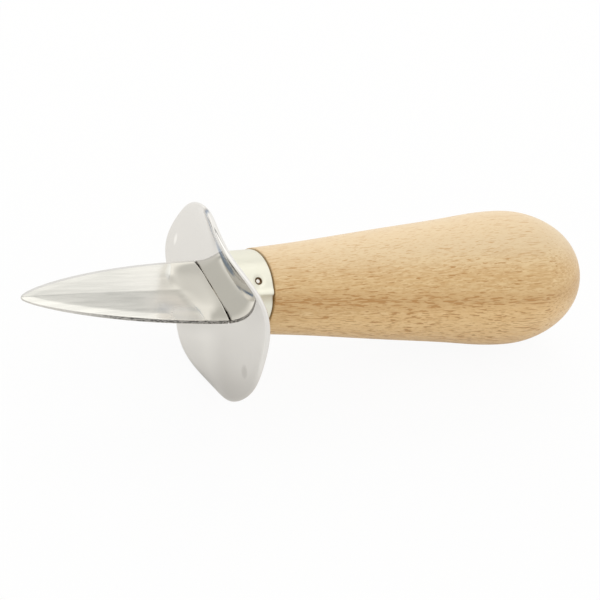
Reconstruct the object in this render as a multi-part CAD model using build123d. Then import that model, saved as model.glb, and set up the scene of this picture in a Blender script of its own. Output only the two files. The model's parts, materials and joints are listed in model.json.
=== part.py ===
from build123d import *
from math import asin, atan2, cos, degrees, pi, radians, sin, sqrt, tan
import os

# Oyster knife: a two-edged spear blade, a bent guard plate, a collar and a turned handle.
# It lies on a table at z = 0, tip towards -X, on the guard's rim and the handle's belly.
# The pieces are modelled on a straight axis first: x = 0 at the blade's heel, the blade's
# flat in the XY plane. The whole knife is then laid down. All lengths are millimetres.

# Blade. It is turned and raised a little against the knife's axis.
blade_length = 53.4
blade_width = 21.6
tip_width = 0.5
spear_fullness = 1.7
spear_roundness = 0.68
blade_pitch_angle = 1.45
blade_roll_angle = -1.5
blade_side_offset = 0.2
blade_rise_distance = 0.24
ricasso_thickness = 2.4
ricasso_round_width = 3.0
heel_edge_thickness = 1.25
tip_edge_thickness = 0.48
thickness_reach_share = 0.625
facet_slope_angle = 2.6
bevel_slope_angle = 6.0
bevel_width = 1.6
tip_bevel_width = 1.9
bevel_fade_width = 0.6

# The grinding stops along a curved line. Its middle is beside the blade's middle.
plunge_distance = 10.2
plunge_side_offset = 3.6
plunge_low_distance = 6.3
plunge_high_distance = 6.9

# Tang
tang_width = 8.0
tang_tip_width = 5.0
tang_thickness = 1.4
tang_length = 68.0
tang_clearance = 0.12

# Guard plate. Its middle lies a little below and beside the knife's axis.
guard_width = 53.8
guard_height = 45.4
guard_thickness = 1.2
guard_rim_radius = 0.42
guard_side_offset = -1.45
guard_drop_distance = 1.5
heel_gap = 0.15

# How far the guard's rim is bent out of the flat. It curls towards the tip above and towards
# the handle below, and it is dished a little. Waves run round the rim as well: two, three,
# four and six crests, each turned by its own angle.
guard_curl_depth = 4.5
guard_dish_depth = 0.4
two_wave_depth = 1.15
two_wave_angle = -14.0
three_wave_depth = 1.2
three_wave_angle = 86.0
four_wave_depth = 0.95
four_wave_angle = -156.0
six_wave_depth = 0.58
six_wave_angle = 75.0
surface_tolerance = 0.01

# Ferrule
ferrule_diameter = 21.0
ferrule_front_diameter = 20.3
ferrule_wall = 0.9
ferrule_end = 11.75
ferrule_edge_radius = 0.2
guard_seat_gap = 0.1
joint_gap = 0.25

# Pins and their dimples
pin_diameter = 1.0
pin_head_diameter = 1.2
pin_head_height = 0.5
pin_length = 4.2
pin_hole_diameter = 2.0
dimple_diameter = 3.4
dimple_depth = 0.45
pin_recess = 0.6
pin_setback = 3.8
pin_angle = 120.0
pin_clearance = 0.05

# Handle
handle_length = 99.6
shoulder_diameter = 21.7
shoulder_edge_radius = 0.4
throat_distance = 15.4
throat_diameter = 24.0
shoulder_slope_share = 0.9
flare_distance = 62.0
flare_diameter = 32.9
belly_distance = 77.0
belly_diameter = 35.5
butt_diameter = 13.6
spigot_length = 6.6
spigot_clearance = 0.05
tang_bore_diameter = 9.2
tang_bore_depth = 72.0
glue_clearance = 0.03

# One overrun serves every cut.
overrun = 2.0

# Counts
blade_stations = 9
heel_stations = 3
station_spread = 1.6
surface_points = 25
laying_rounds = 5


def blend(at_tip, at_heel, along):
    """A size that runs straight from its value at the tip to its value at the heel."""
    return at_tip + (at_heel - at_tip) * along


def half_width(along):
    """Half the blade's width at a share of its length from the tip."""
    spear_share = (1 - (1 - along) ** spear_fullness) ** spear_roundness
    return blend(tip_width, blade_width, spear_share) / 2


def edge_thickness(along):
    """The blunt edge is thin at the tip and soon reaches its full thickness."""
    grown = sin(min(1, along / thickness_reach_share) * pi / 2)
    return blend(tip_edge_thickness, heel_edge_thickness, grown)


def section_plane(along):
    """The plane across the blade at a share of its length from the tip."""
    return Plane((-blade_length * (1 - along), 0, 0), x_dir=(0, 1, 0), z_dir=(1, 0, 0))


def ground_section(along):
    """A ten-sided section: a low ridge, then a bevel and a blunt edge on each side."""
    edge_y = half_width(along)
    flat = edge_y - blend(tip_bevel_width, bevel_width, along)
    shoulder_y = (flat + sqrt(flat**2 + bevel_fade_width**2)) / 2
    edge = edge_thickness(along) / 2
    low = edge + tan(radians(bevel_slope_angle)) * (edge_y - shoulder_y)
    middle = low + tan(radians(facet_slope_angle)) * shoulder_y
    upper = [(edge_y, edge), (shoulder_y, low), (0, middle), (-shoulder_y, low), (-edge_y, edge)]
    lower = [(y, -z) for y, z in reversed(upper)]
    return section_plane(along) * make_face(Polyline(*upper, *lower, close=True))


def heel_section(along):
    """The unground heel's section: flat above and below, falling to the blunt edges."""
    edge_y = half_width(along)
    edge = edge_thickness(along) / 2
    flat_y = edge_y - ricasso_round_width
    middle = ricasso_thickness / 2
    upper = [(edge_y, edge), (flat_y, middle), (-flat_y, middle), (-edge_y, edge)]
    lower = [(y, -z) for y, z in reversed(upper)]
    return section_plane(along) * make_face(Polyline(*upper, *lower, close=True))


def station_shares():
    """Places along the blade, closest together at the tip, where its outline turns most."""
    return [(step / blade_stations) ** station_spread for step in range(blade_stations + 1)]


def heel_shares():
    """Places along the unground heel, from just past the plunge line to the heel."""
    reach = (plunge_distance + overrun) / blade_length
    return [1 - reach * (1 - step / heel_stations) for step in range(heel_stations + 1)]


def plunge_region():
    """The heel end of the blade, bounded by the curved line where the grinding stops."""
    side = blade_width / 2 + overrun
    arc_ends = [(-plunge_low_distance, -side), (-plunge_high_distance, side)]
    outline = ThreePointArc(arc_ends[0], (-plunge_distance, plunge_side_offset), arc_ends[1])
    outline += Polyline(arc_ends[1], (overrun, side), (overrun, -side), arc_ends[0])
    return extrude(make_face(outline), ricasso_thickness, both=True)


def tang(clearance):
    """The flat tapering tang, or with a clearance the slot that it passes through."""
    root = tang_width / 2 + clearance
    point = tang_tip_width / 2 + clearance
    reach = tang_length + clearance
    corners = [(-overrun, -root), (reach, -point), (reach, point), (-overrun, root)]
    bar = extrude(make_face(Polyline(*corners, close=True)), tang_thickness / 2 + clearance, both=True)
    return Pos(0, blade_side_offset, blade_rise_distance) * bar


def make_blade():
    """Ground spear blade, thicker unground heel and the tapering tang, all one forging."""
    ground = loft([ground_section(along) for along in station_shares()])
    heel = loft([heel_section(along) for along in heel_shares()])
    region = plunge_region()
    spear = (ground - region) + (heel & region)
    turn = Rotation(blade_roll_angle, blade_pitch_angle, 0)
    return Pos(0, blade_side_offset, blade_rise_distance) * turn * spear + tang(0)


def bend_at(y, z):
    """How far the guard is bent out of its flat at a place on it, plus towards the handle."""
    across = (y - guard_side_offset) / (guard_width / 2)
    upward = (z + guard_drop_distance) / (guard_height / 2)
    rim_share = sqrt(across**2 + upward**2)
    angle = atan2(upward, across)
    waves = [
        (2, two_wave_depth, two_wave_angle),
        (3, three_wave_depth, three_wave_angle),
        (4, four_wave_depth, four_wave_angle),
        (6, six_wave_depth, six_wave_angle),
    ]

    def rise(power):
        """Grows from the middle to 1 at the rim, and goes on straight outside it."""
        return rim_share**power if rim_share < 1 else 1 + power * (rim_share - 1)

    wave = sum(depth * rise(crests) * cos(crests * angle - radians(turn)) for crests, depth, turn in waves)
    return wave - guard_curl_depth * rise(3) * sin(angle) - guard_dish_depth * rise(2)


def guard_surface(front_x):
    """The bent front of the guard as one smooth face, a little larger than the plate."""
    half_y = guard_width / 2 + overrun
    half_z = guard_height / 2 + overrun
    steps = [2 * step / (surface_points - 1) - 1 for step in range(surface_points)]
    rows = []
    for v in steps:
        z = half_z * v - guard_drop_distance
        places = [half_y * u + guard_side_offset for u in steps]
        rows.append([(front_x + bend_at(y, z) - bend_at(0, 0), y, z) for y in places])
    return Face.make_surface_from_array_of_points(rows, tol=surface_tolerance)


def make_guard():
    """Bent oval plate with a rounded rim and a slot for the tang."""
    plate = Solid.thicken(guard_surface(heel_gap), guard_thickness, normal_override=(1, 0, 0))
    middle = (-blade_length, guard_side_offset, -guard_drop_distance)
    cut_plane = Plane(middle, x_dir=(0, 1, 0), z_dir=(1, 0, 0))
    oval = cut_plane * Ellipse(guard_width / 2, guard_height / 2)
    plate = plate & extrude(oval, blade_length + tang_length)
    seams = plate.edges().filter_by(GeomType.LINE)
    plate = fillet([edge for edge in plate.edges() if edge not in seams], guard_rim_radius)
    return plate - tang(tang_clearance)


def before_guard_back():
    """Everything in front of the guard's back, used to shape what is fitted against it."""
    shift = heel_gap + guard_thickness + guard_seat_gap
    return extrude(guard_surface(shift), blade_length, dir=(-1, 0, 0))


def round_bar(start_x, end_x, diameter):
    """A round bar along the knife's axis."""
    return extrude(Plane.YZ.offset(start_x) * Circle(diameter / 2), end_x - start_x)


def pin_frames():
    """Planes on the ferrule's surface that face outwards at the two pins."""
    pin_x = ferrule_end - pin_setback
    cone_share = pin_x / ferrule_end
    surface_radius = blend(ferrule_front_diameter, ferrule_diameter, cone_share) / 2
    for angle in (radians(pin_angle), radians(pin_angle) + pi):
        outwards = Vector(0, cos(angle), sin(angle))
        yield Plane(Vector(pin_x, 0, 0) + outwards * surface_radius, x_dir=(1, 0, 0), z_dir=outwards)


def sunk_bar(plane, top_depth, length, diameter):
    """A round bar that runs inwards from a depth below the surface."""
    return extrude(plane.offset(-top_depth) * Circle(diameter / 2), -length)


def make_ferrule():
    """Slightly conical collar, shaped to the guard's back, with two dimples and pin holes."""
    bore = ferrule_front_diameter - 2 * ferrule_wall
    outline = Polyline(
        (0, bore / 2),
        (0, ferrule_front_diameter / 2),
        (ferrule_end, ferrule_diameter / 2),
        (ferrule_end, bore / 2),
        close=True,
    )
    collar = revolve(make_face(outline), Axis.X)
    back_edges = collar.edges().filter_by(GeomType.CIRCLE).group_by(Axis.X)[-1]
    collar = fillet(back_edges, ferrule_edge_radius)
    collar -= before_guard_back()
    ball_radius = ((dimple_diameter / 2) ** 2 + dimple_depth**2) / (2 * dimple_depth)
    for plane in pin_frames():
        collar -= plane.offset(ball_radius - dimple_depth) * Sphere(ball_radius)
        collar -= sunk_bar(plane, -overrun, ferrule_wall + 2 * overrun, pin_hole_diameter)
    return collar


def make_pins():
    """Two small brads with low domed heads, sunk a little below the ferrule's surface."""
    for plane in pin_frames():
        shank = sunk_bar(plane, pin_recess + pin_head_height, pin_length - pin_head_height, pin_diameter)
        head = sunk_bar(plane, pin_recess, pin_head_height, pin_head_diameter)
        crown = head.edges().filter_by(GeomType.CIRCLE).sort_by_distance(plane.origin)[0]
        yield shank + fillet(crown, pin_head_height / 2)


def pin_holes():
    """The holes that the pins fill in the wood."""
    for plane in pin_frames():
        depth = pin_recess + pin_length + pin_clearance
        yield sunk_bar(plane, 0, depth, pin_diameter + 2 * pin_clearance)


def make_handle():
    """Turned handle: a spigot inside the ferrule, a straight flare, a round belly, a small flat butt."""
    shoulder_x = ferrule_end + joint_gap
    spigot_x = shoulder_x - spigot_length
    spigot_radius = ferrule_front_diameter / 2 - ferrule_wall - spigot_clearance
    belly = (shoulder_x + belly_distance, belly_diameter / 2)
    throat_rise = (throat_diameter - shoulder_diameter) / 2
    side = Spline(
        (shoulder_x, shoulder_diameter / 2),
        (shoulder_x + throat_distance, throat_diameter / 2),
        (shoulder_x + flare_distance, flare_diameter / 2),
        belly,
        tangents=[(throat_distance, throat_rise * shoulder_slope_share), (1, 0)],
    )
    butt_angle = asin(butt_diameter / belly_diameter)
    dome_reach = (handle_length - belly_distance) / cos(butt_angle)
    dome = EllipticalCenterArc(
        (belly[0], 0),
        dome_reach,
        belly[1],
        start_angle=degrees(butt_angle),
        arc_size=90 - degrees(butt_angle),
    )
    rest = Polyline(
        dome @ 0,
        (shoulder_x + handle_length, 0),
        (spigot_x, 0),
        (spigot_x, spigot_radius),
        (shoulder_x, spigot_radius),
        (shoulder_x, shoulder_diameter / 2),
    )
    wood = revolve(make_face(side + dome + rest), Axis.X)
    shoulder_rim = (shoulder_x, 0, shoulder_diameter / 2)
    shoulder_edge = wood.edges().filter_by(GeomType.CIRCLE).sort_by_distance(shoulder_rim)[0]
    wood = fillet(shoulder_edge, shoulder_edge_radius)
    wood -= round_bar(spigot_x - overrun, shoulder_x + tang_bore_depth, tang_bore_diameter)
    for hole in pin_holes():
        wood -= hole
    return wood


def make_resin():
    """Cured adhesive: a disc behind the guard and the filling of the bore around the tang."""
    shoulder_x = ferrule_end + joint_gap
    spigot_x = shoulder_x - spigot_length
    bore = ferrule_front_diameter - 2 * ferrule_wall
    disc = round_bar(0, spigot_x - glue_clearance, bore - 2 * glue_clearance) - before_guard_back()
    stem = round_bar(
        spigot_x - 2 * glue_clearance,
        shoulder_x + tang_bore_depth - glue_clearance,
        tang_bore_diameter - 2 * glue_clearance,
    )
    return disc + stem - tang(tang_clearance)


def laying_angle(guard, handle):
    """The tilt at which the guard's rim and the handle's belly touch the table together."""
    angle = 0
    for _ in range(laying_rounds):
        turn = Rotation(0, angle, 0)
        drop = (turn * handle).bounding_box().min.Z - (turn * guard).bounding_box().min.Z
        angle += degrees(atan2(drop, ferrule_end + belly_distance))
    return angle


def main():
    os.makedirs("parts", exist_ok=True)
    nodes = {
        "blade": make_blade(),
        "guard": make_guard(),
        "ferrule": make_ferrule(),
        "ferrule_pins": Compound(list(make_pins())),
        "handle": make_handle(),
        "tang_resin": make_resin(),
    }
    turn = Rotation(0, laying_angle(nodes["guard"], nodes["handle"]), 0)
    box = Compound([turn * node for node in nodes.values()]).bounding_box()
    middle = box.center()
    place = Pos(-middle.X, -middle.Y, -box.min.Z) * turn
    for name, node in nodes.items():
        placed = place * node
        placed.label = name
        export_step(placed, f"parts/{name}.step")
    butt = Plane(place * Pos(ferrule_end + joint_gap + handle_length, 0, 0))
    print("size", box.size)
    print("butt flat's centre", butt.origin, "and normal", butt.x_dir)


main()
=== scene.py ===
"""Oyster knife lying on a pale table: pieces, finishes and stage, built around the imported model."""

import json
from math import cos, pi, radians, sin, tan, tau

import bmesh
import bpy
import numpy as np
from bpy.props import FloatProperty, FloatVectorProperty, PointerProperty
from mathutils import Matrix, Vector


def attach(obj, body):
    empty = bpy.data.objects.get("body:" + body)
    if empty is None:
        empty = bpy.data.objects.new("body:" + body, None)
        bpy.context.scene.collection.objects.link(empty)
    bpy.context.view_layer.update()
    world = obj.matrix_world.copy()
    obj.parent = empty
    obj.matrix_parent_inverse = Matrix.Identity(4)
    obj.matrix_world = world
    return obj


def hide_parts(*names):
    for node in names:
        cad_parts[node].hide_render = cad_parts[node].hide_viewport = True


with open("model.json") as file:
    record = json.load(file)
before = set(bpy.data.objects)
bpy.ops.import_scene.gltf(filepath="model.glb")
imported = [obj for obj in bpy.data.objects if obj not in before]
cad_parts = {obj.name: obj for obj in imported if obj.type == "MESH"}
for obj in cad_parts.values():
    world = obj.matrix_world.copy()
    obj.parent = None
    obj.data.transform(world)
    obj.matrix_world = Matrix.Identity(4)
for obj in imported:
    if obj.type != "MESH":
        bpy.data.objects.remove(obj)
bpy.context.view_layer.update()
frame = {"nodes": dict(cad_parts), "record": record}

bl_info = {
    "name": "Oyster Knife",
    "version": (1, 0, 0),
    "blender": (4, 5, 0),
    "location": "View3D > Sidebar > Oyster Knife",
    "description": "Builds an oyster knife with its finishes on a pale table",
    "category": "Object",
}

MILLIMETRE = 0.001


# Sizes and colours that a user would change


def length(name, default_mm, description):
    """A length property, given in millimetres and kept in metres."""
    default = default_mm * MILLIMETRE
    return FloatProperty(name=name, description=description, default=default, unit="LENGTH", precision=5)


def angle(name, default_degrees, description):
    """An angle property, given in degrees."""
    default = radians(default_degrees)
    return FloatProperty(name=name, description=description, default=default, subtype="ANGLE")


def colour(name, default, description):
    """A colour property in linear light."""
    return FloatVectorProperty(
        name=name, description=description, default=default, size=3, min=0.0, max=1.0, subtype="COLOR"
    )


class BladeSettings(bpy.types.PropertyGroup):
    length: length("Length", 53.4, "From the heel to the tip")
    width: length("Width", 21.6, "Across the heel")
    tip_width: length("Tip width", 0.5, "Across the blunt point")
    fullness: FloatProperty(name="Fullness", description="How soon the outline widens", default=1.7, min=0.5)
    roundness: FloatProperty(name="Roundness", description="How round the point is", default=0.68, min=0.1)
    pitch: angle("Pitch", 1.45, "How far the blade points above the knife's axis")
    roll: angle("Roll", -1.5, "How far the blade is turned about the knife's axis")
    side_offset: length("Side offset", 0.2, "The blade's middle beside the axis")
    rise: length("Rise", 0.24, "The blade's middle above the axis")
    heel_thickness: length("Heel thickness", 2.4, "At the middle of the unground heel")
    heel_edge: length("Edge at the heel", 1.25, "Thickness of the blunt edge at the heel")
    tip_edge: length("Edge at the tip", 0.48, "Thickness of the blunt edge at the tip")
    facet_slope: angle("Facet slope", 2.6, "How far each ground facet slopes from the ridge")
    bevel_slope: angle("Bevel slope", 6.0, "How far the bevel slopes towards the edge")
    bevel: length("Bevel at the heel", 1.6, "Width of the bevel near the heel")
    tip_bevel: length("Bevel at the tip", 1.9, "Width of the bevel near the tip")
    steel: colour("Steel", (0.8, 0.785, 0.735), "Ground steel")
    # Painted light on the steel just before the grinding line
    heel_painted_light: colour("Steel near the heel", (0.95, 0.915, 0.855), "Just before the grinding stops")
    # Painted light in the lower bevel's corner near the heel
    corner_painted_light: colour("Corner steel", (0.97, 0.93, 0.85), "In the lower bevel's corner near the heel")
    edge_steel: colour("Edge steel", (0.3, 0.29, 0.275), "Unpolished steel of the blunt edges")
    tip_steel: colour("Rubbed edge steel", (0.85, 0.82, 0.78), "Of the blunt edges near the tip")
    honed_dark: colour("Dark honed steel", (0.6, 0.585, 0.565), "Beside one edge, in its darker marks")
    honed_light: colour("Light honed steel", (0.78, 0.765, 0.74), "Beside one edge, in its lighter marks")


class GuardSettings(bpy.types.PropertyGroup):
    width: length("Width", 53.8, "Across the plate")
    height: length("Height", 45.4, "From the plate's lowest to its highest point")
    thickness: length("Thickness", 1.2, "Of the plate")
    front_radius: length("Front radius", 0.8, "Rounding of the rim's front edge")
    back_radius: length("Back radius", 0.35, "Rounding of the rim's back edge")
    side_offset: length("Side offset", -1.45, "The plate's middle beside the axis")
    drop: length("Drop", 1.5, "The plate's middle below the axis")
    heel_gap: length("Heel gap", 0.06, "From the blade's heel to the plate")
    curl: length("Curl", 4.5, "Curl of the rim towards the tip at the top")
    dish: length("Dish", 0.4, "How far the plate is dished")
    steel: colour("Steel", (0.805, 0.785, 0.755), "Mirror polished steel")
    # Painted reflected light, low on the left wing and in the glint
    reflected_light: colour("Polish", (0.97, 0.95, 0.915), "Brighter steel low on the left wing")
    # Painted shade beside the blue reflection, towards the guard's foot and in a dark painted reflection
    shade: colour("Shade", (0.52, 0.495, 0.465), "Greyer steel beside the tint")
    # Painted reflection: the blue streak that the steel mirrors beside the upper rim
    blue_reflection: colour("Tint", (0.1, 0.195, 0.34), "Blue tint of the steel beside the upper rim")


class FerruleSettings(bpy.types.PropertyGroup):
    diameter: length("Diameter", 21.0, "At the wood")
    front_diameter: length("Front diameter", 20.3, "At the guard")
    wall: length("Wall", 0.9, "Thickness of the sheet")
    end: length("End", 11.75, "From the heel to the ferrule's back end")
    edge_radius: length("Edge radius", 0.25, "Rounding of the back end")
    seat_gap: length("Seat gap", 0.1, "Between the guard and the ferrule")
    pin_setback: length("Pin setback", 3.8, "From the back end to the pins")
    pin_angle: angle("Pin angle", 120.0, "Round the axis to the upper pin")
    dimple_diameter: length("Dimple diameter", 3.5, "Of the dent round each pin")
    dimple_depth: length("Dimple depth", 0.45, "Of the dent round each pin")
    hole_diameter: length("Hole diameter", 2.0, "Of the pin holes")
    metal: colour("Metal", (0.825, 0.805, 0.69), "Pale satin aluminium")
    # Painted shade in the fold below the upper pin
    fold_shade: colour("Fold stain", (0.58, 0.525, 0.41), "In the fold below the upper pin")
    # Painted shade in the walls of the pin holes, in a darker and a lighter brown
    dark_hole_shade: colour("Dark stain", (0.3, 0.2, 0.12), "In the walls of the pin holes")
    light_hole_shade: colour("Light stain", (0.5, 0.37, 0.24), "In the walls of the pin holes")


class FixingSettings(bpy.types.PropertyGroup):
    pin_steel: colour("Pins", (0.8, 0.77, 0.72), "Plain bright brads")
    dark_resin: colour("Dark resin", (0.3, 0.2, 0.09), "In the adhesive's darker clouds")
    light_resin: colour("Light resin", (0.42, 0.3, 0.15), "In the adhesive's lighter clouds")


class HandleSettings(bpy.types.PropertyGroup):
    length: length("Length", 99.6, "From the wood's shoulder to the butt")
    joint_gap: length("Joint gap", 0.25, "Between the ferrule and the wood's shoulder")
    spigot_length: length("Spigot length", 6.6, "Of the part inside the ferrule")
    bore_depth: length("Bore depth", 72.0, "Of the hole for the tang, from the shoulder")
    bore_radius: length("Bore radius", 4.6, "Of the hole for the tang")
    light_wood: colour("Light wood", (0.74, 0.53, 0.265), "Between the growth lines")
    # Painted sheen along the upper side of the handle
    upper_sheen: colour("Pale wood", (0.645, 0.495, 0.3), "Along the side that grew last")
    # Painted light along the lower side of the handle
    lower_side_light: colour("Low wood", (0.81, 0.54, 0.245), "Along the opposite side")
    warm_wood: colour("Warm wood", (0.6, 0.37, 0.145), "In the growth lines")
    fleck: colour("Fleck", (0.44, 0.21, 0.042), "Short rays and pores")


class StageSettings(bpy.types.PropertyGroup):
    floor_size: FloatProperty(name="Floor size", description="Width of the table", default=4.0, unit="LENGTH")
    paper: colour("Paper", (0.76, 0.755, 0.745), "The table")
    lamp_power: FloatProperty(name="Lamp power", description="Of the wide lamp", default=6.5, unit="POWER")
    camera_azimuth: angle("Camera azimuth", 43.91, "Round the knife, in the knife's own frame")
    camera_elevation: angle("Camera elevation", 36.95, "Above the knife, in the knife's own frame")
    camera_roll: angle("Camera roll", 26.92, "About the camera's own axis")
    camera_distance: length("Camera distance", 700.0, "From the middle of the knife")
    lens: FloatProperty(name="Lens", description="For a 36 mm sensor", default=165.69, unit="CAMERA")
    shift_x: FloatProperty(name="Shift X", description="Sideways shift of the frame", default=-0.01457)
    shift_y: FloatProperty(name="Shift Y", description="Upward shift of the frame", default=-0.02027)


# Fixed values: lengths in metres, turns from +Y. A fade is 0 at its first place and 1 at its second

# The blade's cross sections: distance from the tip and share of the full size at the blunt point, then the
# start of the spear, the spans before the heel with closer rows, and the number of rows in each part
TIP_SECTIONS = [(0, 0.45), (0.00004, 0.75), (0.00012, 0.93), (0.00025, 1.0)]
SPEAR_START = 0.0003
RUN_OUT_SPAN = (0.012, 0.0045)
HEEL_SPAN = 0.004
SPEAR_ROWS, RUN_OUT_ROWS, HEEL_ROWS = 60, 70, 12
SPEAR_CLOSENESS = 1.5

# The blade's columns as parts of each facet and bevel, its roundings, and the share of its length over
# which the edges thicken
FACET_PARTS = [0, 0.015, 0.035, 0.06, 0.1, 0.16, 0.25, 0.36, 0.48, 0.6, 0.71, 0.81, 0.89, 0.94, 0.97, 0.99, 1]
BEVEL_PARTS = [0.05, 0.12, 0.25, 0.4, 0.6, 0.8, 1]
HONED_COLUMNS = 6
EDGE_STEPS = 4
EDGE_ROUNDING = 0.00012
EDGE_ROUGHNESS = 0.00003
RIDGE_ROUNDING = 0.00025
SHOULDER_ROUNDING = 0.0006
BEVEL_ROUNDING = 0.00002
CROWN_POWER = 5
THICKNESS_REACH = 0.625

# The line where the grinding stops, the run-out from it to the plain heel, and the heel's rounded corners
PLUNGE_DISTANCE = 0.0102
PLUNGE_ASIDE = 0.0036
PLUNGE_ROUNDING = 0.002
PLUNGE_UPPER_RATE = 0.45
PLUNGE_LOWER_RATE = 0.27
PLUNGE_BULGE = 0.0013
PLUNGE_BULGE_FADES = (-0.0018, 0.0007), (0.011, 0.003)
LOWER_RUN_OUT, UPPER_RUN_OUT = 0.0042, 0.002
RUN_OUT_FADE = (0.0015, 0.006)
HEEL_CORNER_DROP = 0.0002
HEEL_CORNER_FADE_Y = (0.006, 0.0085)
HEEL_CORNER_FADE_X = (-0.004, 0.0)

# The blade's painted zones: the polished heel behind the grinding line, painted light on the steel before it
# and in the lower bevel's corner near the heel, and the rubbed edges near the tip
PLAIN_FADE = (0.0, 0.0008)
NEAR_FADE_X = (-0.025, -0.0155)
NEAR_FADE_BEHIND = (-0.0006, -0.0032)
NEAR_FADE_Y = (-0.0005, -0.003)
CORNER_FADES_X = (-0.018, -0.0115), (-0.006, -0.0095)
CORNER_FADE_Y = (-0.0045, -0.0078)
BRIGHT_FADE_Y = (-0.0066, -0.0082)
RUBBED_FADE_X = (-0.026, -0.044)

# The tang in millimetres: distance behind the heel, half width, half thickness; and its section's corners
TANG_STATIONS = [(0, 4.0, 0.7), (10, 3.8, 0.7), (40, 3.2, 0.7), (67.5, 2.55, 0.7), (68, 2.4, 0.5)]
TANG_SECTION = [(-1, -0.7), (-0.97, -1), (0.97, -1), (1, -0.7), (1, 0.7), (0.97, 1), (-0.97, 1), (-1, 0.7)]

# The guard's waves round its rim: crests, depth in millimetres, phase in degrees; its mesh; and its slot,
# an oval that is cut off straight
GUARD_WAVES = [(2, 1.15, -14.0), (3, 1.2, 86.0), (4, 0.95, -156.0), (6, 0.58, 75.0)]
GUARD_COLUMNS = 288
GUARD_RINGS = 40
GUARD_CLOSENESS = 0.9
RIM_STEPS = 9
SLOPE_STEP = 0.0001
SLOT_OVAL = (0.0046, 0.0014)
SLOT_HALF = (0.00412, 0.00082)

# The guard's painted zones: the arched painted blue reflection, painted shade beside it and towards the foot,
# painted reflected light low on the left wing, and two ovals, a painted glint and a dark painted reflection
BLUE_REFLECTION_MIDDLE = 0.002
BLUE_REFLECTION_BEND = 42.0
BLUE_REFLECTION_HEIGHT = 0.0121
BLUE_REFLECTION_FADES_ABOVE = (-0.0008, 0.0002), (0.0038, 0.0016)
BLUE_REFLECTION_FADES_Y = (0.011, 0.0095), (-0.0085, -0.006)
BLUE_REFLECTION_BREAK = 0.0048
BLUE_REFLECTION_BREAK_FADE = (0.0006, 0.0018)
BLUE_REFLECTION_WEAKER_FADE = (0.0, 0.003)
SHADE_RISE = (-0.0055, 0.0004)
SHADE_END = (0.0034, 0.0008)
SHADE_FADES_Y = (0.002, 0.0055), (0.0125, 0.0105)
FRONT_FACE = (0.1, -0.1)
GUARD_DOWN, GUARD_RIGHT = radians(228.65), radians(138.65)
FOOT_FADE = (0.015, 0.026)
REFLECTED_LIGHT_FADE_RIGHT = (0.006, -0.004)
REFLECTED_LIGHT_FADE_DOWN = (0.007, 0.012)
GLINT = {"middle": (0.02135, -0.0018), "lean": radians(12), "reach": 0.0021, "breadth": 0.0008}
DARK_REFLECTION = {"middle": (-0.0233, -0.0043), "lean": radians(40), "reach": 0.0024, "breadth": 0.0019}

# The ferrule: the square patch of its mesh round each pin, the rings from there to the hole by their
# distance from the hole, the dimple's floor and its blend outside, and the rounding of the hole's rim
PATCH_HALF = 0.0023
PATCH_BLEND = 0.00035
PATCH_CELLS = 16
PLAIN_COLUMNS = 90
FRONT_ROWS = 14
BACK_ROWS = (0.35, 0.7)
END_STEPS = 6
FRONT_DROP = 0.00006
SEAT_REACH = 0.001
RING_WIDTHS_MM = [1.1, 0.95, 0.85, 0.75, 0.65, 0.53, 0.42, 0.31, 0.21, 0.12, 0.06, 0.02, 0.0]
DIMPLE_FLOOR = 0.0005
DIMPLE_BLEND = 0.0002
HOLE_RIM = 0.0001
HOLE_RIM_SLOPE = 0.7

# The fold below the upper pin, by the way down from its turn, with painted shade in it and a painted highlight
# on its lip
FOLD_TURN = radians(138.5)
FOLD_CREST, FOLD_HOLLOW = 0.00024, 0.0003
CREST_FADES = (-0.0022, -0.0002), (0.0008, -0.0001)
HOLLOW_FADES = (0.0002, 0.001), (0.004, 0.001)
FOLD_FADE_X = (0.0065, 0.0087)
FOLD_FADE_Y = (-0.004, -0.006)
FOLD_SHADE_FADES = (-0.0001, 0.0006), (0.0034, 0.0008)
FOLD_SHADE_FADE_X = (0.0066, 0.0088)
LIP_HIGHLIGHT_FADES = (-0.0018, -0.0006), (0.0003, -0.0001)

# The handle's half section in millimetres: distance behind the shoulder, radius
DRAWN_LENGTH = 99.6
BORE_TIP_RADIUS = 0.8
BORE_MIDDLE = 40
SPIGOT_CHAMFER = 0.1
SPIGOT_FRONT_RADIUS, SPIGOT_RADIUS = 9.0, 9.17
SHOULDER = [(-0.2, 9.19), (0, 9.25), (0, 10.2), (0.02, 10.55), (0.1, 10.72), (0.2, 10.8)]
FLARE = [(0.35, 10.83), (4, 11.08), (15.4, 11.97), (29.9, 13.4), (44.8, 14.84), (61.8, 16.5)]
BELLY = [(69.7, 17.38), (76.2, 17.72), (81.7, 17.47), (87.7, 16.05), (92.6, 13.85), (96.5, 10.95)]
BUTT_ROUNDING = [(98.7, 8.3), (99.35, 7.25)]
BUTT = [(99.55, 6.75), (99.6, 6.3), (99.6, 5.4), (99.6, 4.0), (99.6, 2.4), (99.6, 1.0)]
SIDE_ROWS = 150
HANDLE_COLUMNS = 240

# The wood: its growth layers' slope, wander and number per metre, the depth of its darkest line, and where the
# colour and the flecks change: a painted sheen on the upper side, painted light low down and painted shade at
# the joint
GROWTH_SLOPE = -0.026
GROWTH_WANDER = 0.0016
GROWTH_RATE = 420.0
LINE_DEPTH = 0.0061
LINE_REACH, LINE_RAY_REACH = 0.0006, 0.0018
LINE_BAND = (0.0012, 0.0034)
FRONT_TURN = radians(45.4)
UPPER_SHEEN_FADE = (0.0, 0.0105)
LOWER_SIDE_LIGHT_FADE = (-0.005, -0.009)
RAY_FADE_Z = (0.012, 0.002)
RAY_LEVEL = 0.665
CALM_BUTT = (0.09, 0.108)
CALM_FRONT = (0.002, 0.01)
JOINT_SHADE_REACH = 0.00014

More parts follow.
